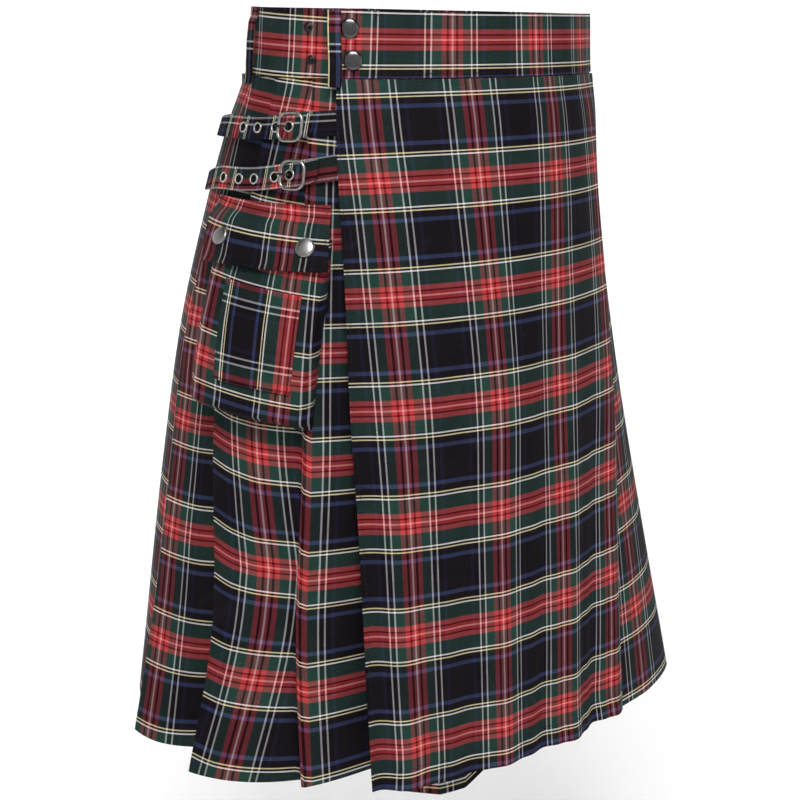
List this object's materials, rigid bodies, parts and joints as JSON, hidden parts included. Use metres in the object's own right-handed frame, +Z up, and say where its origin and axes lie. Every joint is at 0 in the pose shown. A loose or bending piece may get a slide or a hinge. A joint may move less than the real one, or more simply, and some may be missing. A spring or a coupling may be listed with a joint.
{
  "type": "kilt",
  "caption": "Knee-length utility kilt in a red, green and black tartan: flat front apron, knife pleats, snap waistband, side straps with buckles, flapped cargo pocket.",
  "frame": {"origin": "middle of the waistband's top edge, where the wearer's waist holds the kilt up", "axes": "+Z up, front towards -Y, the wearer's right side with the pocket towards -X"},
  "size_m": [0.5331, 0.401, 0.6148],
  "materials": {
    "tartan_cloth": "smooth twill, tartan of black, dark green and red with white, yellow and blue lines",
    "tartan_strap": "the same twill, folded double and edge-stitched",
    "brushed_snap_metal": "satin",
    "dark_metal": "dark nickel, satin"
  },
  "bodies": {
    "root": {"belt_loop_back_left": "tartan_strap", "belt_loop_back_right": "tartan_strap", "belt_loop_front_right": "tartan_strap", "belt_loop_left": "tartan_strap", "belt_loop_right": "tartan_strap", "buckle_bar_lower": "dark_metal", "buckle_bar_upper": "dark_metal", "buckle_frame_lower": "dark_metal", "buckle_frame_upper": "dark_metal", "buckle_prong_lower": "dark_metal", "buckle_prong_upper": "dark_metal", "buckle_tab_lower": "tartan_strap", "buckle_tab_upper": "tartan_strap", "cargo_pocket": "tartan_cloth", "eyelet_lower_1": "brushed_snap_metal", "eyelet_lower_2": "brushed_snap_metal", "eyelet_lower_3": "brushed_snap_metal", "eyelet_lower_4": "brushed_snap_metal", "eyelet_lower_5": "brushed_snap_metal", "eyelet_upper_1": "brushed_snap_metal", "eyelet_upper_2": "brushed_snap_metal", "eyelet_upper_3": "brushed_snap_metal", "eyelet_upper_4": "brushed_snap_metal", "over_apron": "tartan_cloth", "pleated_skirt": "tartan_cloth", "pocket_flap": "tartan_cloth", "pocket_patch": "tartan_cloth", "snap_cap_band_low": "brushed_snap_metal", "snap_cap_band_top": "brushed_snap_metal", "snap_cap_flap_back": "brushed_snap_metal", "snap_cap_flap_front": "brushed_snap_metal", "snap_stud_low": "dark_metal", "snap_stud_top": "dark_metal", "strap_tongue_lower": "tartan_strap", "strap_tongue_upper": "tartan_strap", "under_apron": "tartan_cloth", "waistband": "tartan_cloth"}
  },
  "joints": []
}
